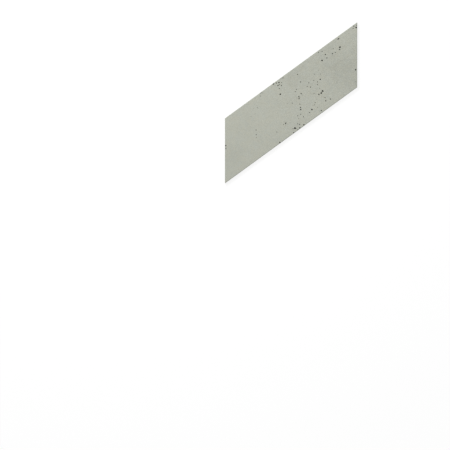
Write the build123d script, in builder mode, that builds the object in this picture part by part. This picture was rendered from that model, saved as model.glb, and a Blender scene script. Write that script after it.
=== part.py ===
from build123d import *

import math
import os

# Raked wall panel of cast architectural concrete, in one piece.
#
# The panel is a parallelogram slab: two upright edges, and two long edges that rise to the
# right at the rake angle. It lies on its flat back, with the show face up. The face has a
# small arris all round, the open air voids that such a casting keeps, and a few chips.
#
# The origin is the middle of the back. +X runs across the panel, +Y runs up along its
# upright edges, and +Z comes out of the face. Millimetres and degrees.

# Slab
panel_width = 600.0  # across, from one upright edge to the other
upright_edge = 295.0  # length of each upright edge
rake = 36.0  # rise of the two long edges
thickness = 20.0
arris = 2.0  # bevel between the face and its four edges

# Scoops out of the face. Each is (across, up, mouth). Across is a share of the width, from
# the left upright edge. Up is a share of the upright edge, from the lower long edge. Mouth
# is the diameter of the opening in millimetres.

# Air voids are round bubbles that the face cuts open, wider inside than at the mouth.
# Where two mouths overlap, the bubbles ran together.
void_depth = 0.74  # over the mouth
voids = {
    "upper_right_corner": [(0.992, 0.931, 7.0)],
    "upper_right": [
        (0.857, 0.955, 5.5),
        (0.862, 0.948, 4.0),
        (0.870, 0.809, 7.0),
        (0.734, 0.804, 7.0),
    ],
    "right_edge": [(0.988, 0.289, 6.0)],
    "right_of_centre": [(0.720, 0.534, 5.5)],
    "large_pair": [(0.738, 0.329, 7.5), (0.727, 0.312, 6.5)],
    "lower_right": [(0.656, 0.161, 5.5), (0.660, 0.158, 5.0)],
    "below_centre": [(0.573, 0.287, 6.0)],
    "lower_edge": [
        (0.529, 0.068, 7.5),
        (0.523, 0.071, 4.0),
        (0.566, 0.017, 6.0),
        (0.596, 0.019, 5.5),
        (0.415, 0.016, 6.0),
    ],
    "lower_left": [(0.459, 0.241, 5.5), (0.460, 0.250, 4.5)],
    "upper_left_cluster": [
        (0.368, 0.986, 5.5),
        (0.408, 0.947, 6.0),
        (0.401, 0.912, 5.5),
        (0.418, 0.752, 7.0),
    ],
}

# Chips are shallow dishes broken out of the edge of the face.
chip_depth = 0.12  # over the mouth
chips = {
    "upper_long_edge": [(0.435, 0.977, 8.0), (0.443, 0.972, 7.0), (0.274, 0.993, 9.0)],
}

# Worked out from the sizes above
rise = panel_width * math.tan(math.radians(rake))  # of a long edge, left end to right end
left = -panel_width / 2
bottom = -(upright_edge + rise) / 2
outline = [
    (left, bottom),
    (left + panel_width, bottom + rise),
    (left + panel_width, bottom + rise + upright_edge),
    (left, bottom + upright_edge),
]


def place_of(across, up):
    """Centre of a scoop's mouth in the plane of the face."""
    return left + across * panel_width, bottom + across * rise + up * upright_edge


def places_by_mouth(groups):
    """Maps each mouth diameter to the places of the scoops that have it."""
    places = {}
    for group in groups.values():
        for across, up, mouth in group:
            places.setdefault(mouth, []).append(place_of(across, up))
    return places


def scoop_out(groups, depth_over_mouth):
    """Cuts round scoops out of the face. Each is a sphere as deep as its mouth asks."""
    for mouth, places in places_by_mouth(groups).items():
        depth = depth_over_mouth * mouth
        radius = (mouth**2 / 4 + depth**2) / (2 * depth)
        with Locations(*[(x, y, thickness - depth + radius) for x, y in places]):
            Sphere(radius, mode=Mode.SUBTRACT)


with BuildPart() as panel:
    with BuildSketch(Plane.XY):
        with BuildLine():
            Polyline(*outline, close=True)
        make_face()
    extrude(amount=thickness)
    chamfer(panel.faces().sort_by(Axis.Z)[-1].edges(), arris)

    scoop_out(voids, void_depth)
    scoop_out(chips, chip_depth)

panel.part.label = "panel"

os.makedirs("parts", exist_ok=True)
export_step(panel.part, "parts/panel.step")
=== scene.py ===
import math
import random
from dataclasses import dataclass
from functools import cached_property

import bmesh
import bpy
import numpy as np
from mathutils import Matrix, Vector, geometry, noise


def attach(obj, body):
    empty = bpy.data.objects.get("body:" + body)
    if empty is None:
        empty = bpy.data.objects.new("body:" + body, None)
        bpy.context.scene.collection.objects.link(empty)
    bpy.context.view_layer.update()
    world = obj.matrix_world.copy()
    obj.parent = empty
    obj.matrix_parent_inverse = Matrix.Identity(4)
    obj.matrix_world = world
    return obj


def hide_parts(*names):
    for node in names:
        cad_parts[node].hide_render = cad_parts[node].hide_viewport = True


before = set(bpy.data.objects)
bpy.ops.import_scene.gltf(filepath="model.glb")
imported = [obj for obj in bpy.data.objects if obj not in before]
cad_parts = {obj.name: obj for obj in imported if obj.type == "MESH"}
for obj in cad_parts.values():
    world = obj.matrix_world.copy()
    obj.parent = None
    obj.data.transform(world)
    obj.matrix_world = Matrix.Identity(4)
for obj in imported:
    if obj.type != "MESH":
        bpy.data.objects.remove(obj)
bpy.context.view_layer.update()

# Looks of the raked concrete wall panel. Metres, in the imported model's frame: +X across the
# panel, +Y up along its upright edges, +Z out of the show face. Lengths that are written in
# millimetres are multiplied by MM.

MM = 0.001
SEED = 36
TOUCHING = 1e-6  # metres: nearer than this is the same place


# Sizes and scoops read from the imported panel


def slab_sizes(mesh):
    """Width, upright edge, rise of a long edge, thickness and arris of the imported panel."""
    points = [v.co for v in mesh.vertices]
    left, right = min(p.x for p in points), max(p.x for p in points)
    bottom, top = min(p.y for p in points), max(p.y for p in points)
    thick = max(p.z for p in points)
    on_left = [p for p in points if p.x < left + TOUCHING]
    back_left = [p.y for p in on_left if p.z < TOUCHING]
    upright = max(back_left) - min(back_left)
    arris = thick - max(p.z for p in on_left)
    return right - left, upright, top - bottom - upright, thick, arris


WIDTH, UPRIGHT, RISE, THICK, ARRIS = slab_sizes(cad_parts["panel"].data)
SLOPE = RISE / WIDTH
RAKE = math.atan(SLOPE)


def place_of(across, up):
    """The point of the face at a share of the width and a share of the upright edge."""
    x = (across - 0.5) * WIDTH
    return x, x * SLOPE + (up - 0.5) * UPRIGHT


def scoops_in(mesh, least_turn=1e-4, miss=0.02 * MM, near=0.8 * MM, least_triangles=8):
    """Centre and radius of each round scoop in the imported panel.

    The normals at the corners of a triangle on a sphere turn from corner to corner, and they
    meet at the sphere's centre, within miss. Triangles whose centres are near are one scoop.
    """
    mesh.calc_loop_triangles()
    corners = np.array([t.loops[:] for t in mesh.loop_triangles])
    points = np.array([mesh.vertices[c.vertex_index].co[:] for c in mesh.loops])[corners]
    normals = np.array([n.vector[:] for n in mesh.corner_normals])[corners]
    point_steps = points[:, 1:] - points[:, :1]
    normal_steps = normals[:, 1:] - normals[:, :1]
    turned = (normal_steps**2).sum(axis=(1, 2))
    curved = turned > least_turn
    radii = -(point_steps * normal_steps).sum(axis=(1, 2))[curved] / turned[curved]
    meetings = points[curved] + radii[:, None, None] * normals[curved]
    centres = meetings.mean(axis=1)
    round_enough = np.linalg.norm(meetings - centres[:, None], axis=2).max(axis=1) < miss
    centres, radii = centres[round_enough], radii[round_enough]

    scoops = []
    while len(centres):
        same = np.linalg.norm(centres - centres[0], axis=1) < near
        if same.sum() >= least_triangles:
            scoops.append((*np.median(centres[same], axis=0), float(np.median(radii[same]))))
        centres, radii = centres[~same], radii[~same]
    return sorted(scoops)


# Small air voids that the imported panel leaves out. Each is (across, up, mouth), with the
# mouth in millimetres. Across and up are shares of the width and of the upright edge. Where
# a mouth overlaps another, or that of a packed void, the bubbles ran together.
SMALL_VOIDS = {
    "upper_right_corner": [(0.996, 0.958, 4.0), (0.974, 0.978, 5.0), (0.969, 0.949, 4.0)],
    "upper_right": [
        (0.867, 0.776, 5.2),
        (0.836, 0.777, 4.0),
        (0.812, 0.795, 5.0),
        (0.759, 0.858, 5.2),
        (0.771, 0.788, 5.0),
        (0.734, 0.943, 4.3),
        (0.708, 0.966, 4.0),
        (0.836, 0.939, 2.2),
        (0.818, 0.865, 3.4),
        (0.854, 0.953, 3.8),
        (0.866, 0.806, 4.4),
    ],
    "right_edge": [(0.985, 0.111, 3.0), (0.986, 0.278, 3.2)],
    "right_of_centre": [
        (0.700, 0.525, 4.5),
        (0.700, 0.484, 4.0),
        (0.671, 0.593, 4.0),
        (0.647, 0.523, 4.5),
        (0.635, 0.607, 4.0),
        (0.622, 0.569, 4.0),
        (0.677, 0.674, 3.0),
        (0.707, 0.690, 2.6),
        (0.722, 0.614, 2.8),
        (0.715, 0.402, 3.0),
        (0.673, 0.384, 3.5),
        (0.648, 0.428, 2.0),
        (0.670, 0.648, 1.8),
    ],
    "lower_right": [
        (0.709, 0.321, 5.2),
        (0.756, 0.202, 4.4),
        (0.762, 0.142, 5.3),
        (0.798, 0.117, 5.0),
        (0.728, 0.043, 5.0),
        (0.682, 0.235, 3.5),
        (0.677, 0.204, 3.4),
        (0.640, 0.143, 4.4),
        (0.700, 0.132, 3.0),
        (0.729, 0.259, 2.0),
        (0.730, 0.319, 4.6),
        (0.744, 0.312, 3.2),
        (0.714, 0.308, 3.4),
        (0.656, 0.168, 5.0),
    ],
    "centre": [
        (0.549, 0.863, 4.0),
        (0.572, 0.714, 4.5),
        (0.541, 0.644, 3.8),
        (0.532, 0.622, 4.0),
        (0.576, 0.529, 5.4),
        (0.583, 0.496, 3.0),
        (0.559, 0.509, 5.0),
        (0.560, 0.494, 3.6),
        (0.560, 0.478, 5.2),
        (0.509, 0.480, 4.0),
        (0.567, 0.378, 3.6),
        (0.571, 0.322, 5.2),
        (0.573, 0.215, 4.2),
        (0.550, 0.226, 4.0),
        (0.556, 0.175, 3.0),
        (0.594, 0.145, 4.5),
        (0.550, 0.102, 4.2),
    ],
    "lower_edge": [
        (0.514, 0.077, 4.0),
        (0.565, 0.069, 4.7),
        (0.520, 0.013, 4.5),
        (0.550, 0.015, 3.0),
        (0.535, 0.053, 5.2),
        (0.601, 0.017, 2.8),
    ],
    "lower_left": [(0.443, 0.251, 3.5), (0.392, 0.210, 3.4)],
    "upper_left_cluster": [
        (0.364, 0.986, 5.2),
        (0.388, 0.969, 5.3),
        (0.412, 0.911, 3.8),
        (0.427, 0.873, 4.5),
        (0.411, 0.852, 4.5),
        (0.429, 0.917, 3.5),
    ],
    "left": [
        (0.245, 0.799, 3.5),
        (0.267, 0.946, 3.5),
        (0.269, 0.988, 3.4),
        (0.237, 0.398, 4.0),
        (0.235, 0.473, 4.0),
        (0.238, 0.352, 3.0),
        (0.197, 0.737, 2.6),
        (0.227, 0.731, 2.4),
        (0.091, 0.706, 2.5),
        (0.215, 0.835, 1.8),
        (0.242, 0.276, 1.8),
    ],
    "left_edge": [(0.006, 0.572, 6.0), (0.007, 0.528, 5.0)],
}
VOID_DEPTH = 0.74  # over the mouth


# Map for the baked textures


# The face and the back lie on the map as rectangles, without their rake, and the sides as
# strips. The lining of a void is unrolled inside its own mouth.
MAP_NAME = "OFBake"
ACROSS, UPWARD, OUTWARD = range(3)


@dataclass
class Chart:
    """A rectangle of the map, and which shares of the slab run along it and up it.

    First is its corner where both shares are 0, and last is the one where both are 1.
    """

    first: tuple
    last: tuple
    along: int
    over: int

    def place(self, point):
        """Where a point of the slab lies on the map."""
        shares = (
            point.x / WIDTH + 0.5,
            (point.y - point.x * SLOPE) / UPRIGHT + 0.5,
            point.z / THICK,
        )
        return (
            self.first[0] + (self.last[0] - self.first[0]) * shares[self.along],
            self.first[1] + (self.last[1] - self.first[1]) * shares[self.over],
        )

    def lay_out(self, face, layer):
        """Gives every corner of a face its place on the map."""
        for loop in face.loops:
            loop[layer].uv = self.place(loop.vert.co)


FACE_CHART = Chart((0.005, 0.515), (0.995, 0.995), ACROSS, UPWARD)

# Runs from right to left, because the back is seen from below
BACK_CHART = Chart((0.995, 0.005), (0.005, 0.385), ACROSS, UPWARD)


@dataclass
class Side:
    """A side of the slab, from one corner to the next, anticlockwise. Corners are shares."""

    start: tuple
    end: tuple
    chart: Chart

    def run(self):
        return Vector(place_of(*self.end)) - Vector(place_of(*self.start))

    def outward(self):
        along = self.run().normalized()
        return Vector((along.y, -along.x, 0.0))

    def at(self, share, z):
        start = Vector(place_of(*self.start))
        return Vector((*(start + share * self.run()), z))


SIDES = (
    Side((0, 0), (1, 0), Chart((0.005, 0.395), (0.995, 0.425), ACROSS, OUTWARD)),
    Side((1, 0), (1, 1), Chart((0.505, 0.475), (0.995, 0.505), UPWARD, OUTWARD)),
    Side((1, 1), (0, 1), Chart((0.995, 0.435), (0.005, 0.465), ACROSS, OUTWARD)),
    Side((0, 1), (0, 0), Chart((0.495, 0.475), (0.005, 0.505), UPWARD, OUTWARD)),
)


# Slab


# Grid lines, in millimetres in from an edge of the face and up from the back
EDGE_STEPS = [0.0, 0.35, 0.8, 1.3, 1.8, 2.3, 3.0, 4.2]
SIDE_LEVELS = [17.3, 16.0, 14.0, 12.0, 10.0, 8.0, 6.0, 4.0, 2.4, 1.2, 0.5, 0.0]
FACE_STEP = 2.5 * MM
BACK_STEP = 4.5 * MM
EDGE_REACH = 3.0 * MM  # how far in from an edge the unevenness of a side is felt

# Unevenness of the casting, and how far each part of it goes
FACE_SWELL = 0.16 * MM
FACE_RIPPLE = 0.05 * MM
ARRIS_SWAY = 0.30 * MM
ARRIS_JITTER = 0.16 * MM
ARRIS_BEND = 0.22 * MM  # softness of the edge between the face and the arris
SIDE_LAYERS = 0.12 * MM
SIDE_BEND = 0.2 * MM  # softness of the edge between the arris and a side
FOOT = 0.45 * MM  # of the rounded strip of a side, along the back
FOOT_JITTER = 0.35 * MM
FOOT_BEND = 0.25 * MM
BACK_RELIEF = 0.5 * MM  # from the ridges, which touch the floor, to the deepest hollows

FINISHES = (
    "cast_face", "face_void", "cast_side", "side_void", "floated_back", "broken_edge"
)
FACE, FACE_VOID, SIDE, SIDE_VOID, BACK, BROKEN = range(len(FINISHES))


def lumps(x, y, z, size):
    """Smooth noise from -1 to 1 whose lumps are about as wide as size.

    Where there is no height, z is a whole number that keeps one use apart from the others.
    """
    return noise.noise(Vector((x, y, z)) / size)


def soft_step(x, softness):
    """Zero for x well below 0, x for x well above 0, with a round bend between."""
    return softness * math.log1p(math.exp(x / softness))


def lines_over(length, skew):
    """Grid lines over a length: close together at both ends, and even between them.

    The steps are square to the edges, where the length would measure skew times as much.
    """
    near = [step * MM / skew for step in EDGE_STEPS]
    middle = length - 2 * near[-1]
    count = round(middle * skew / FACE_STEP)
    even = [near[-1] + middle * i / count for i in range(1, count)]
    return near + even + [length - step for step in reversed(near)]


def edge_distances(x, y):
    """Distances from a point to the left, right, lower and upper edge, square to each."""
    up = (y - x * SLOPE + UPRIGHT / 2) * math.cos(RAKE)
    return x + WIDTH / 2, WIDTH / 2 - x, up, UPRIGHT * math.cos(RAKE) - up


def face_height(x, y):
    """Height of the show face: flat within a fraction of a millimetre, bevelled at its edges."""
    sway = ARRIS_SWAY * lumps(x, y, 1.0, 14 * MM)
    arris = ARRIS + sway + ARRIS_JITTER * lumps(x, y, 2.0, 4 * MM)
    bevel = soft_step(arris - min(edge_distances(x, y)), ARRIS_BEND)
    swell = 0.5 + 0.5 * lumps(x, y, 3.0, 90 * MM)
    ripple = 0.5 + 0.5 * lumps(x, y, 4.0, 16 * MM)
    return THICK - bevel - FACE_SWELL * swell - FACE_RIPPLE * ripple


def side_inset(x, y, z):
    """How far a side lies inside its plane at a height: worn at the top, rough at the back."""
    edge_falloff = soft_step(z - (THICK - ARRIS), SIDE_BEND)
    ragged = FOOT + FOOT_JITTER * lumps(x, y, 5.0, 6 * MM)
    foot = soft_step(ragged - z, FOOT_BEND)
    layers = 0.5 + 0.5 * lumps(x, y, 3 * z, 20 * MM)
    return edge_falloff + foot + SIDE_LAYERS * layers


def pulled_in(a, b, z):
    """Place in the plane of a grid point a across and b up, with the sides' unevenness."""
    x, y = place_of(a / WIDTH, b / UPRIGHT)
    inset = side_inset(x, y, min(z, THICK - ARRIS))
    left, right, lower, upper = (math.exp(-d / EDGE_REACH) for d in edge_distances(x, y))
    a += inset * (left - right)
    b += inset * (lower - upper) / math.cos(RAKE)
    return place_of(a / WIDTH, b / UPRIGHT)


def back_height(x, y, stroke=6 * MM, waver=5.0):
    """Relief of the floated back: ridges that the float left in arcs, never below the floor."""
    sweep = math.hypot(x + 0.5 * WIDTH, y + 1.3 * UPRIGHT)
    wave = 0.5 + 0.5 * math.sin(sweep / stroke + waver * lumps(x, y, 6.0, 110 * MM))
    ridge = wave**3 * min(1.0, max(0.0, 0.6 + 1.2 * lumps(x, y, 7.0, 45 * MM)))
    hollow = 0.75 + 0.25 * lumps(x, y, 8.0, 30 * MM)
    return BACK_RELIEF * hollow * (1.0 - ridge)


def border_keys(columns, rows):
    """Grid keys round the face, anticlockwise from the lower left corner."""
    right, top = columns - 1, rows - 1
    border = [(i, 0) for i in range(right)] + [(right, j) for j in range(top)]
    return border + [(i, top) for i in range(right, 0, -1)] + [(0, j) for j in range(top, 0, -1)]


def add_back(built, ring, layer):
    """Closes the slab with the floated back: a lattice inside the lowest ring."""
    columns, rows = round(WIDTH / BACK_STEP), round(UPRIGHT / BACK_STEP)
    lattice = [
        Vector(place_of(i / columns, j / rows)) for i in range(1, columns) for j in range(1, rows)
    ]
    rim = [Vector(vert.co.xy) for vert in ring]
    rim_edges = [(k, (k + 1) % len(rim)) for k in range(len(rim))]
    only_inside = 1
    tolerance = 1e-7
    points, _, triangles, origins, _, _ = geometry.delaunay_2d_cdt(
        rim + lattice, rim_edges, [], only_inside, tolerance
    )
    verts = []
    for point, origin in zip(points, origins):
        if origin[0] < len(ring):
            verts.append(ring[origin[0]])
        else:
            verts.append(built.verts.new((*point, back_height(*point))))
    for triangle in triangles:
        back = built.faces.new([verts[k] for k in reversed(triangle)])
        back.material_index = BACK
        BACK_CHART.lay_out(back, layer)


def slab_mesh():
    """The closed slab with no voids: show face, arris, sides and floated back."""
    across = lines_over(WIDTH, 1.0)
    up = lines_over(UPRIGHT, math.cos(RAKE))
    built = bmesh.new()
    layer = built.loops.layers.uv.new(MAP_NAME)

    grid = {}
    for i, a in enumerate(across):
        for j, b in enumerate(up):
            z = face_height(*place_of(a / WIDTH, b / UPRIGHT))
            grid[i, j] = built.verts.new((*pulled_in(a, b, z), z))
    for i in range(len(across) - 1):
        for j in range(len(up) - 1):
            corners = (grid[i, j], grid[i + 1, j], grid[i + 1, j + 1], grid[i, j + 1])
            FACE_CHART.lay_out(built.faces.new(corners), layer)

    border = border_keys(len(across), len(up))
    ring = [grid[key] for key in border]
    charts = []
    for side in SIDES:
        lines = up if side.chart.along == UPWARD else across
        charts += [side.chart] * (len(lines) - 1)
    for level in SIDE_LEVELS:
        z = level * MM
        below = [built.verts.new((*pulled_in(across[i], up[j], z), z)) for i, j in border]
        for k in range(len(ring)):
            after = (k + 1) % len(ring)
            side = built.faces.new((below[k], below[after], ring[after], ring[k]))
            side.material_index = SIDE
            charts[k].lay_out(side, layer)
        ring = below
    add_back(built, ring, layer)

    mesh = bpy.data.meshes.new("cast_panel")
    built.to_mesh(mesh)
    built.free()
    return mesh


# Voids, worn lips, pinholes, chips and nicks, cut out of the slab


VOID_UNEVENNESS = 0.10
CHIP_UNEVENNESS = 0.05
BREAK_UNEVENNESS = 0.22
LINING_REACH = 0.46  # of a lining that is unrolled on the map, over the mouth
INLAY_SCALE = 0.4  # of a small bubble's chart on the unrolled lining
BALL_DETAILS = ((1.8 * MM, 3), (0.4 * MM, 2), (0.0, 1))  # (radius, detail of larger balls)
APART = 1.5  # least distance between two balls of a batch, over the sum of their radii
SHARP_ANGLE = math.radians(38)
UP = Vector((0.0, 0.0, 1.0))


@dataclass
class Ball:
    """An uneven ball to cut out of the slab. Flatness is its height over its width.

    A bubble also has the way out through its mouth, and the mouth's diameter.
    """

    centre: Vector
    radius: float
    unevenness: float
    chart: Chart
    flatness: float = 1.0
    outward: Vector = None
    mouth: float = 0.0

    def unrolled(self, point):
        """A point of a bubble's lining, pressed flat inside the outline of the mouth."""
        away = (point - self.centre).normalized()
        rise = max(-1.0, min(1.0, away.dot(self.outward)))
        # 0 at the deepest point, 1 at the rim of the mouth
        turned = math.acos(-rise) / (math.pi - math.asin(self.mouth / 2 / self.radius))
        sideways = (away - rise * self.outward).normalized()
        return self.centre + LINING_REACH * self.mouth * turned * sideways

    def on_map(self, point):
        return self.chart.place(self.unrolled(point) if self.outward else point)


@dataclass
class Inlay:
    """Chart of a small bubble in the wall of a larger one: a spot of the unrolled lining."""

    void: Ball
    centre: Vector

    def place(self, point):
        spot = self.void.unrolled(self.centre)
        return self.void.chart.place(spot + INLAY_SCALE * (point - self.centre))


def ball_template(detail):
    """Points and triangles of a ball of radius 1."""
    built = bmesh.new()
    bmesh.ops.create_icosphere(built, subdivisions=detail, radius=1.0)
    points = [vert.co.copy() for vert in built.verts]
    triangles = [[vert.index for vert in face.verts] for face in built.faces]
    built.free()
    return points, triangles


BALLS = {detail: ball_template(detail) for _, detail in BALL_DETAILS}


def detail_for(radius):
    """A larger void gets a finer ball."""
    return next(detail for least, detail in BALL_DETAILS if radius > least)


def swell_of(point, shift):
    """Unevenness of a ball at a point of it: broad swells, and dents half as strong."""
    return noise.noise(point * 1.1 + shift) + 0.5 * noise.noise(point * 3.1 + shift)


def add_ball(built, ball, layer, rng):
    """Adds a ball to a mesh of cutters."""
    points, triangles = BALLS[detail_for(ball.radius)]
    shift = Vector([rng.uniform(-99, 99) for _ in range(3)])
    stretch = 1 + rng.uniform(-1, 1) * ball.unevenness
    turn = Matrix.Rotation(rng.uniform(0, math.tau), 3, "Z")
    verts = []
    for point in points:
        shaped = ball.radius * (1 + ball.unevenness * swell_of(point, shift)) * point
        shaped.x *= stretch
        shaped.y /= stretch
        shaped.z *= ball.flatness
        verts.append(built.verts.new(ball.centre + turn @ shaped))
    spots = [ball.on_map(vert.co) for vert in verts]
    for triangle in triangles:
        face = built.faces.new([verts[k] for k in triangle])
        for loop, k in zip(face.loops, triangle):
            loop[layer].uv = spots[k]


def apart(ball, other):
    """Whether two balls stay clear of each other, however uneven they are."""
    return (ball.centre - other.centre).length > APART * (ball.radius + other.radius)


def batches_apart(balls):
    """Sorts the balls into batches, so that no two in a batch touch."""
    batches = []
    for ball in balls:
        for batch in batches:
            if all(apart(ball, other) for other in batch):
                batch.append(ball)
                break
        else:
            batches.append([ball])
    return batches


def cut_out(piece, balls, finish, rng):
    """Cuts the balls out of the piece. The cut faces get the finish, a material's index."""
    for batch in batches_apart(balls):
        built = bmesh.new()
        layer = built.loops.layers.uv.new(MAP_NAME)
        for ball in batch:
            add_ball(built, ball, layer, rng)
        for face in built.faces:
            face.material_index = finish
        mesh = bpy.data.meshes.new("cutter")
        built.to_mesh(mesh)
        built.free()
        for material in piece.data.materials:
            mesh.materials.append(material)
        cutter = bpy.data.objects.new("cutter", mesh)
        bpy.context.scene.collection.objects.link(cutter)

        cut = piece.modifiers.new("cut", "BOOLEAN")
        cut.operation = "DIFFERENCE"
        cut.solver = "MANIFOLD"
        cut.object = cutter
        graph = bpy.context.evaluated_depsgraph_get()
        shaped = bpy.data.meshes.new_from_object(piece.evaluated_get(graph))
        piece.modifiers.remove(cut)
        bpy.data.objects.remove(cutter)
        old = piece.data
        piece.data = shaped
        bpy.data.meshes.remove(old)
        bpy.data.meshes.remove(mesh)


def bubble(place, outward, mouth, chart):
    """A ball whose middle lies inside the surface, so that its opening is narrower than it."""
    depth = VOID_DEPTH * mouth
    radius = (mouth**2 / 4 + depth**2) / (2 * depth)
    centre = place - (depth - radius) * outward
    return Ball(centre, radius, VOID_UNEVENNESS, chart, outward=outward, mouth=mouth)


def bite(place, outward, radius, share, chart):
    """A ball whose middle lies outside the surface by a share of its radius."""
    return Ball(place + share * radius * outward, radius, BREAK_UNEVENNESS, chart)


def packed_scoops():
    """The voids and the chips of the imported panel.

    The centre of a void lies under the face, and that of a chip above it.
    """
    voids, chips = [], []
    for x, y, z, radius in scoops_in(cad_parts["panel"].data):
        centre = Vector((x, y, z))
        if z < THICK:
            mouth = 2 * math.sqrt(radius**2 - (THICK - z) ** 2)
            voids.append(
                Ball(centre, radius, VOID_UNEVENNESS, FACE_CHART, outward=UP, mouth=mouth)
            )
        else:
            chips.append(Ball(centre, radius, CHIP_UNEVENNESS, FACE_CHART))
    return voids, chips


def small_voids():
    """The listed small voids in the face."""
    return [
        bubble(Vector((*place_of(across, up), THICK)), UP, mouth * MM, FACE_CHART)
        for group in SMALL_VOIDS.values()
        for across, up, mouth in group
    ]


def lips(voids, rng, least_radius=1.2 * MM, off_centre=0.12, lift=0.70):
    """A shallow dish, a little off centre, worn into the face round the mouth of each void.

    Lift is how far the middle of a dish's ball lies above the face, over half its height.
    """
    made = []
    for void in voids:
        if void.radius > least_radius:
            width = void.radius * rng.uniform(1.4, 2.1)
            flatness = rng.uniform(0.12, 0.20)
            x = void.centre.x + void.radius * rng.uniform(-off_centre, off_centre)
            y = void.centre.y + void.radius * rng.uniform(-off_centre, off_centre)
            centre = Vector((x, y, THICK + lift * width * flatness))
            made.append(Ball(centre, width, VOID_UNEVENNESS, FACE_CHART, flatness))
    return made


def wall_bubbles(voids, rng, least_radius=2.0 * MM, out=0.95):
    """Small bubbles that open into the walls of the larger voids.

    Out is how far their centres lie from that of their void, over its radius.
    """
    made = []
    for void in voids:
        if void.radius <= least_radius:
            continue
        for _ in range(rng.choice((1, 2, 3))):
            turn = rng.uniform(0, math.tau)
            fall = rng.uniform(-0.1, 0.8)
            towards = Vector((math.cos(turn), math.sin(turn), -fall)).normalized()
            centre = void.centre + out * void.radius * towards
            radius = void.radius * rng.uniform(0.18, 0.34)
            made.append(Ball(centre, radius, VOID_UNEVENNESS, Inlay(void, centre)))
    return made


def mostly_small(rng, least, most, power):
    """A random length from least to most millimetres: the higher the power, the more small ones."""
    return (least + (most - least) * rng.random() ** power) * MM


def pinholes(voids, rng, count=420, gathered=0.6, spread=13 * MM, sunk=0.1 * MM):
    """Pinholes in the face. Most gather round the voids, and the rest thin out to the left.

    Sunk is how far the face lies under the full thickness, on average.
    """
    made = []
    while len(made) < count:
        if rng.random() < gathered:
            near = rng.choice(voids).centre
            x, y = rng.gauss(near.x, spread), rng.gauss(near.y, spread)
        else:
            x, y = place_of(rng.random() ** 0.7, rng.random())
        mouth = mostly_small(rng, 0.5, 1.9, power=2.5)
        if min(edge_distances(x, y)) > mouth:
            made.append(bubble(Vector((x, y, THICK - sunk)), UP, mouth, FACE_CHART))
    return made


def side_voids(rng, spacing=13 * MM, margin=2.5 * MM):
    """Voids and pinholes in the four sides."""
    made = []
    for side in SIDES:
        for _ in range(round(side.run().length / spacing)):
            z = rng.uniform(margin, THICK - ARRIS - margin)
            place = side.at(rng.uniform(0.01, 0.99), z)
            mouth = mostly_small(rng, 0.6, 4.2, power=3)
            made.append(bubble(place, side.outward(), mouth, side.chart))
    return made


def edge_breaks(rng, face_spacing=34 * MM, back_spacing=12 * MM):
    """Small bites out of the arris, and larger, closer ones out of the edge of the back."""
    made = []
    for side in SIDES:
        outward, length = side.outward(), side.run().length
        over_arris = (outward + UP).normalized()
        under_back = (outward - UP).normalized()
        for _ in range(round(length / face_spacing)):
            inset = rng.choice((0.0, ARRIS))
            place = side.at(rng.random(), THICK - ARRIS + inset) - inset * outward
            radius = mostly_small(rng, 0.5, 1.6, power=2)
            made.append(bite(place, over_arris, radius, rng.uniform(0.45, 0.8), FACE_CHART))
        for _ in range(round(length / back_spacing)):
            place = side.at(rng.random(), 0.0)
            radius = mostly_small(rng, 0.7, 2.5, power=2)
            made.append(bite(place, under_back, radius, rng.uniform(0.2, 0.7), BACK_CHART))
    return made


def drop_crumbs(built):
    """Deletes every part of the mesh that the cuts have parted from the largest one."""
    parts, seen = [], set()
    for start in built.verts:
        if start not in seen:
            part = [start]  # grows while the loop below walks it
            seen.add(start)
            for vert in part:
                for edge in vert.link_edges:
                    other = edge.other_vert(vert)
                    if other not in seen:
                        seen.add(other)
                        part.append(other)
            parts.append(part)
    for crumb in sorted(parts, key=len)[:-1]:
        bmesh.ops.delete(built, geom=crumb, context="VERTS")


def cast_panel():
    """The panel's one piece: the slab with everything cut out of it."""
    rng = random.Random(SEED)
    piece = bpy.data.objects.new("cast_panel", slab_mesh())
    bpy.context.scene.collection.objects.link(piece)
    for finish in FINISHES:
        piece.data.materials.append(bpy.data.materials.new(finish))

    large_voids, chips = packed_scoops()
    voids = large_voids + small_voids()
    cut_out(piece, chips + edge_breaks(rng), BROKEN, rng)
    cut_out(piece, lips(voids, rng), FACE, rng)
    cut_out(piece, voids + wall_bubbles(voids, rng), FACE_VOID, rng)
    cut_out(piece, pinholes(voids, rng), FACE_VOID, rng)
    cut_out(piece, side_voids(rng), SIDE_VOID, rng)

    built = bmesh.new()
    built.from_mesh(piece.data)
    drop_crumbs(built)
    bmesh.ops.triangulate(built, faces=[face for face in built.faces if len(face.verts) > 4])
    for face in built.faces:
        face.smooth = True
    built.to_mesh(piece.data)
    built.free()
    piece.data.set_sharp_from_angle(angle=SHARP_ANGLE)
    return piece


# Materials


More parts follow.
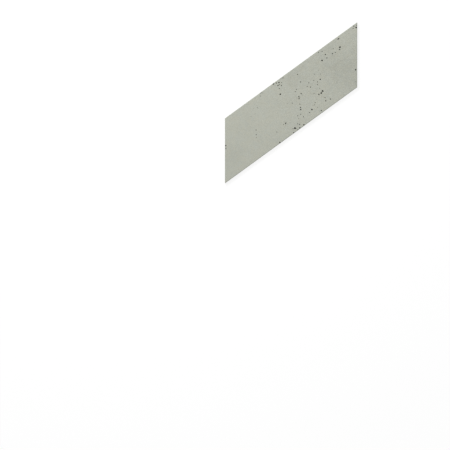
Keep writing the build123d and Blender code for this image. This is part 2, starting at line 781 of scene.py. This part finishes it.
class Nodes:
    """Short calls that build the nodes of one material, or of the world."""

    def __init__(self, owner):
        owner.use_nodes = True
        self.tree = owner.node_tree
        self.tree.nodes.clear()

    @cached_property
    def place(self):
        """The point that is shaded, in the frame of its own object."""
        return self.add("ShaderNodeTexCoord").outputs["Object"]

    def add(self, kind, inputs=None, **settings):
        """A new node. Inputs go by name or number, and each is a value or another's output."""
        node = self.tree.nodes.new(kind)
        for name, value in settings.items():
            setattr(node, name, value)
        for name, value in (inputs or {}).items():
            self.feed(node.inputs[name], value)
        return node

    def feed(self, socket, value):
        if isinstance(value, bpy.types.NodeSocket):
            self.tree.links.new(value, socket)
        else:
            socket.default_value = value

    def math(self, operation, *values):
        inputs = dict(enumerate(values))
        return self.add("ShaderNodeMath", inputs, operation=operation).outputs[0]

    def noise(self, size, detail=2.0, roughness=0.5, place=None):
        """Noise from 0 to 1 whose lumps are about as wide as size."""
        inputs = {
            "Vector": place or self.place,
            "Scale": 1 / size,
            "Detail": detail,
            "Roughness": roughness,
        }
        return self.add("ShaderNodeTexNoise", inputs).outputs["Fac"]

    def varied(self, value, size, amount, **noise_settings):
        """value plus noise that reaches about amount to either side.

        The noise stays mostly within a quarter of its middle, which is 0.5.
        """
        change = self.noise(size, **noise_settings)
        lowest = self.math("SUBTRACT", value, 2 * amount)
        return self.math("MULTIPLY_ADD", change, 4 * amount, lowest)

    def ramp(self, value, low, high, to_low=0.0, to_high=1.0):
        """Smooth step of value from low to high, mapped to to_low and to_high."""
        inputs = {0: value, 1: low, 2: high, 3: to_low, 4: to_high}
        node = self.add("ShaderNodeMapRange", inputs, interpolation_type="SMOOTHSTEP")
        return node.outputs[0]

    def blend(self, factor, first, second):
        """A colour between two. The inputs of that node for colours are numbers 6 and 7."""
        inputs = {0: factor, 6: first, 7: second}
        return self.add("ShaderNodeMix", inputs, data_type="RGBA").outputs[2]

    def scaled(self, colour, factor):
        inputs = {0: colour, "Scale": factor}
        return self.add("ShaderNodeVectorMath", inputs, operation="SCALE").outputs[0]


def linear(red, green, blue):
    """A colour from 0 to 255, as seen on a screen, as the linear colour that a shader takes."""
    def channel(value):
        share = value / 255
        return share / 12.92 if share <= 0.04045 else ((share + 0.055) / 1.055) ** 2.4
    return (channel(red), channel(green), channel(blue), 1.0)


WARM_PASTE = linear(178, 179, 166)
COOL_PASTE = linear(176, 179, 169)
BROKEN_PASTE = linear(162, 163, 153)

EDGE_TONE = 0.87  # of the arris, over that of the face: darker towards the edge

# Layers of noise in the tone: (size in millimetres, change of tone, detail, roughness)
CLOUD_LAYERS = [(70, 0.018, 3.0, 0.5), (15, 0.016, 3.0, 0.6)]
SAND_LAYERS = [(4.0, 0.035, 0.0, 0.5), (2.4, 0.105, 1.0, 0.5), (1.0, 0.165, 3.0, 0.7)]
GRAIN_SIZE = 2.6 * MM
GRAIN_TONE = -0.18  # at the middle of a dark grain
GRAINS_SHOW = 0.56  # where noise from 0 to 1 is above this

# Soft tone patches of the face: (across, up, radius in millimetres, change of tone)
TONE_PATCHES = [
    (0.96, 0.30, 170, -0.072),
    (0.86, 0.42, 70, -0.020),
    (0.72, 0.85, 120, -0.045),
    (0.53, 0.85, 90, -0.055),
    (0.205, 0.18, 30, -0.030),
    (0.05, 0.35, 90, -0.030),
    (0.37, 0.42, 110, 0.022),
    # Darker round the chips: painted shade in the chips, with dirt
    (0.437, 0.972, 8, -0.130),
    (0.421, 0.992, 8, -0.260),
    (0.280, 0.984, 9, -0.260),
    (0.42, 0.72, 28, 0.015),
]


def patch_tone(nodes, tone):
    """Adds the soft patches to the tone, each a round smooth bump in the plane of the face."""
    for across, up, radius, change in TONE_PATCHES:
        centre = (*place_of(across, up), THICK)
        away = nodes.add("ShaderNodeVectorMath", {0: nodes.place, 1: centre}, operation="DISTANCE")
        reach = nodes.varied(away.outputs["Value"], 30 * MM, 0.2 * radius * MM)
        tone = nodes.math("ADD", tone, nodes.ramp(reach, 0.0, radius * MM, change, 0.0))
    return tone


def edge_distance(nodes):
    """Distance in metres from the nearest of the four edges, in the plane of the face."""
    split = nodes.add("ShaderNodeSeparateXYZ", {0: nodes.place})
    x, y = split.outputs[0], split.outputs[1]
    from_upright = nodes.math("SUBTRACT", WIDTH / 2, nodes.math("ABSOLUTE", x))
    up = nodes.math("ABSOLUTE", nodes.math("MULTIPLY_ADD", x, -SLOPE, y))
    from_long = nodes.math("MULTIPLY", nodes.math("SUBTRACT", UPRIGHT / 2, up), math.cos(RAKE))
    return nodes.math("MINIMUM", from_upright, from_long)


def mottled(nodes, clouds, sand):
    """Tone about 1: clouds of cement, and sand with dark grains, each with its own strength."""
    tone = 1.0
    for layers, strength in ((CLOUD_LAYERS, clouds), (SAND_LAYERS, sand)):
        for size, change, detail, roughness in layers:
            tone = nodes.varied(tone, size * MM, change * strength,
                                detail=detail, roughness=roughness)
    grains = nodes.add("ShaderNodeTexVoronoi", {"Vector": nodes.place, "Scale": 1 / GRAIN_SIZE})
    dark = nodes.ramp(grains.outputs["Distance"], 0.05, 0.22, GRAIN_TONE * sand, 0.0)
    chosen = nodes.math("GREATER_THAN", nodes.noise(GRAIN_SIZE, detail=0.0), GRAINS_SHOW)
    return nodes.math("MULTIPLY_ADD", dark, chosen, tone)


def paste(nodes):
    """Cement colour that drifts between warm and cool."""
    drift = nodes.ramp(nodes.noise(28 * MM, detail=3.0), 0.34, 0.66)
    fine_drift = nodes.ramp(nodes.noise(7 * MM, detail=2.0), 0.36, 0.64)
    both = nodes.math("MULTIPLY_ADD", fine_drift, 0.5, nodes.math("MULTIPLY", drift, 0.5))
    return nodes.blend(both, WARM_PASTE, COOL_PASTE)


def finish_with(nodes, colour, roughness, bump_height, bump_size):
    """Ends a material in one rough shader with a bump: fine grain on coarser swells."""
    grain = nodes.noise(bump_size, detail=3.0, roughness=0.65)
    swells = nodes.noise(5 * bump_size, detail=1.0)
    heights = nodes.math("ADD", grain, nodes.math("MULTIPLY", swells, 1.5))
    bump = nodes.add("ShaderNodeBump", {
        "Height": heights,
        "Distance": bump_height,
        "Strength": 1.0,
    })
    shader = nodes.add("ShaderNodeBsdfPrincipled", {
        "Base Color": colour,
        "Roughness": roughness,
        "Specular IOR Level": 0.3,
        "Normal": bump.outputs[0],
    })
    nodes.add("ShaderNodeOutputMaterial", {"Surface": shader.outputs[0]})


def cast_face(material):
    """The show face and its arris: smooth from the mould, and a little darker at the edge.

    The mottle grows stronger towards the right.
    """
    nodes = Nodes(material)
    across = nodes.add("ShaderNodeSeparateXYZ", {0: nodes.place}).outputs[0]
    strength = nodes.ramp(across, -WIDTH / 2, WIDTH / 2, 0.9, 1.6)
    mottle = nodes.math("SUBTRACT", mottled(nodes, clouds=1.0, sand=1.0), 1.0)
    tone = patch_tone(nodes, nodes.math("MULTIPLY_ADD", mottle, strength, 1.0))
    edge = nodes.varied(edge_distance(nodes), 5 * MM, 0.8 * MM)
    # Darker towards the edges of the face, all round
    edge_falloff = nodes.ramp(edge, 0.6 * MM, 3.0 * MM, EDGE_TONE, 1.0)
    colour = nodes.scaled(paste(nodes), nodes.math("MULTIPLY", tone, edge_falloff))
    roughness = nodes.varied(0.74, 12 * MM, 0.06, detail=3.0)
    finish_with(nodes, colour, roughness, 0.06 * MM, 1.0 * MM)


def line_void_with_painted_shade(nodes, depth):
    """Ends the material of a void's lining, with painted shade: darker the deeper it lies under the
    surface.
    """
    # Painted shade: the lining darkens with depth, where the hollow lies in shade
    painted_wall_shade = nodes.ramp(depth, 0.3 * MM, 2.3 * MM, 1.0, 0.20)
    painted_bottom_shade = nodes.ramp(depth, 2.0 * MM, 5.0 * MM, 1.0, 0.35)
    painted_depth_shade = nodes.math("MULTIPLY", painted_wall_shade, painted_bottom_shade)
    tone = nodes.math("MULTIPLY", mottled(nodes, clouds=1.0, sand=1.0), painted_depth_shade)
    finish_with(nodes, nodes.scaled(paste(nodes), tone), 0.9, 0.12 * MM, 0.7 * MM)


def face_void(material):
    """Inside the voids of the show face."""
    nodes = Nodes(material)
    z = nodes.add("ShaderNodeSeparateXYZ", {0: nodes.place}).outputs[2]
    line_void_with_painted_shade(nodes, nodes.math("SUBTRACT", THICK, z))


def side_void(material):
    """Inside the voids of the sides."""
    nodes = Nodes(material)
    line_void_with_painted_shade(nodes, edge_distance(nodes))


def cast_side(material):
    """The four sides: sandier, with faint level streaks."""
    nodes = Nodes(material)
    stretched = nodes.add("ShaderNodeMapping", {0: nodes.place, "Scale": (0.12, 0.12, 1.0)})
    streaks = nodes.varied(mottled(nodes, clouds=1.4, sand=1.2), 3.5 * MM, 0.03,
                           detail=3.0, place=stretched.outputs[0])
    colour = nodes.scaled(paste(nodes), nodes.math("MULTIPLY", streaks, 0.96))
    finish_with(nodes, colour, 0.85, 0.14 * MM, 1.2 * MM)


def floated_back(material):
    """The back: floated by hand, coarse, and darker in its hollows than on its ridges, as painted
    shade.
    """
    nodes = Nodes(material)
    z = nodes.add("ShaderNodeSeparateXYZ", {0: nodes.place}).outputs[2]
    # Painted shade: darker in the hollows, lighter on the ridges
    painted_hollow_shade = nodes.ramp(z, 0.0, BACK_RELIEF, 1.02, 0.86)
    tone = nodes.math("MULTIPLY", mottled(nodes, clouds=2.0, sand=1.2), painted_hollow_shade)
    finish_with(nodes, nodes.scaled(paste(nodes), tone), 0.9, 0.25 * MM, 1.6 * MM)


def broken_edge(material):
    """Chips and nicks: sandy and very rough, as dark as the painted shade and dirt round them."""
    nodes = Nodes(material)
    tone = patch_tone(nodes, mottled(nodes, clouds=1.0, sand=1.4))
    finish_with(nodes, nodes.scaled(BROKEN_PASTE[:3], tone), 0.95, 0.2 * MM, 0.8 * MM)


def dress(piece):
    """Fills the piece's materials, which are in the order of FINISHES."""
    makers = (cast_face, face_void, cast_side, side_void, floated_back, broken_edge)
    for material, make in zip(piece.data.materials, makers):
        make(material)


# Floor, light and camera


FLOOR_REACH = 6.0  # from the origin to each side
FLOOR_WHITE = 0.80  # share of the light that the floor sends on to the panel
FLOOR_SHADE = 0.25  # share that shows where the floor is seen, and so how dark its shadows are
FLOOR_LIFT = 0.79  # added where the floor is seen, which makes it white
SKY = 0.66  # share of the light that comes evenly from all round
KEY = 0.36  # share that comes from the lamp, at the middle of the face
KEY_DISTANCE = 3.0
KEY_SIZE = 1.5
KEY_AZIMUTH = math.radians(130)  # from +X towards +Y: above and left of the panel
KEY_ELEVATION = math.radians(48)

PHOTO_PIXELS = 450
PANEL_LEFT_PIXEL, PANEL_RIGHT_PIXEL = 224.96, 357.25  # its upright edges in the photograph
PANEL_MIDDLE_PIXEL_Y = 102.75
CAMERA_HEIGHT = 8.0


def seen_directly(nodes):
    """1 for the rays that show the background: from the camera, in gloss and through glass."""
    rays = nodes.add("ShaderNodeLightPath")
    seen = nodes.math("MAXIMUM", rays.outputs["Is Camera Ray"], rays.outputs["Is Glossy Ray"])
    return nodes.math("MAXIMUM", seen, rays.outputs["Is Transmission Ray"])


def make_floor():
    """A floor under the panel that is seen as white, with a faint shadow of the panel on it."""
    mesh = bpy.data.meshes.new("floor")
    signs = ((-1, -1), (1, -1), (1, 1), (-1, 1))
    corners = [(x * FLOOR_REACH, y * FLOOR_REACH, 0.0) for x, y in signs]
    mesh.from_pydata(corners, [], [(0, 1, 2, 3)])
    floor = bpy.data.objects.new("floor", mesh)
    bpy.context.scene.collection.objects.link(floor)
    material = bpy.data.materials.new("white_floor")
    mesh.materials.append(material)
    nodes = Nodes(material)
    seen = seen_directly(nodes)
    grey = nodes.ramp(seen, 0.0, 1.0, FLOOR_WHITE, FLOOR_SHADE)
    lit = nodes.add("ShaderNodeBsdfDiffuse", {"Color": grey})
    lift = nodes.math("MULTIPLY", seen, FLOOR_LIFT)
    glow = nodes.add("ShaderNodeEmission", {"Strength": lift})
    both = nodes.add("ShaderNodeAddShader", {0: lit.outputs[0], 1: glow.outputs[0]})
    nodes.add("ShaderNodeOutputMaterial", {"Surface": both.outputs[0]})


def make_sky():
    """An even sky, white where it is seen."""
    world = bpy.data.worlds.new("sky")
    bpy.context.scene.world = world
    nodes = Nodes(world)
    level = nodes.math("MAXIMUM", seen_directly(nodes), SKY)
    sky = nodes.add("ShaderNodeBackground", {"Color": (1.0, 1.0, 1.0, 1.0), "Strength": level})
    nodes.add("ShaderNodeOutputWorld", {"Surface": sky.outputs[0]})


def make_key():
    """A large soft lamp above and to the left."""
    towards = Vector((
        math.cos(KEY_AZIMUTH) * math.cos(KEY_ELEVATION),
        math.sin(KEY_AZIMUTH) * math.cos(KEY_ELEVATION),
        math.sin(KEY_ELEVATION),
    ))
    lamp = bpy.data.lights.new("key", "AREA")
    lamp.shape = "SQUARE"
    lamp.size = KEY_SIZE
    # With this power a white, level surface at the origin shows KEY of full white
    lamp.energy = KEY * math.pi**2 * KEY_DISTANCE**2 / math.sin(KEY_ELEVATION)
    key = bpy.data.objects.new("key", lamp)
    key.location = KEY_DISTANCE * towards
    key.rotation_euler = (-towards).to_track_quat("-Z", "Y").to_euler()
    key.visible_camera = False
    bpy.context.scene.collection.objects.link(key)


def make_camera():
    """Looks straight down, so that the panel lies where it does in the photograph."""
    pixel = WIDTH / (PANEL_RIGHT_PIXEL - PANEL_LEFT_PIXEL)
    middle = PHOTO_PIXELS / 2
    x = (middle - (PANEL_LEFT_PIXEL + PANEL_RIGHT_PIXEL) / 2) * pixel
    y = (PANEL_MIDDLE_PIXEL_Y - middle) * pixel
    data = bpy.data.cameras.new("camera")
    data.lens = data.sensor_width * CAMERA_HEIGHT / (PHOTO_PIXELS * pixel)
    camera = bpy.data.objects.new("camera", data)
    camera.location = (x, y, THICK + CAMERA_HEIGHT)
    bpy.context.scene.collection.objects.link(camera)
    bpy.context.scene.camera = camera


panel = cast_panel()
dress(panel)
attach(panel, "root")
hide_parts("panel")

make_floor()
make_sky()
make_key()
make_camera()
bpy.context.scene.view_settings.view_transform = "Standard"
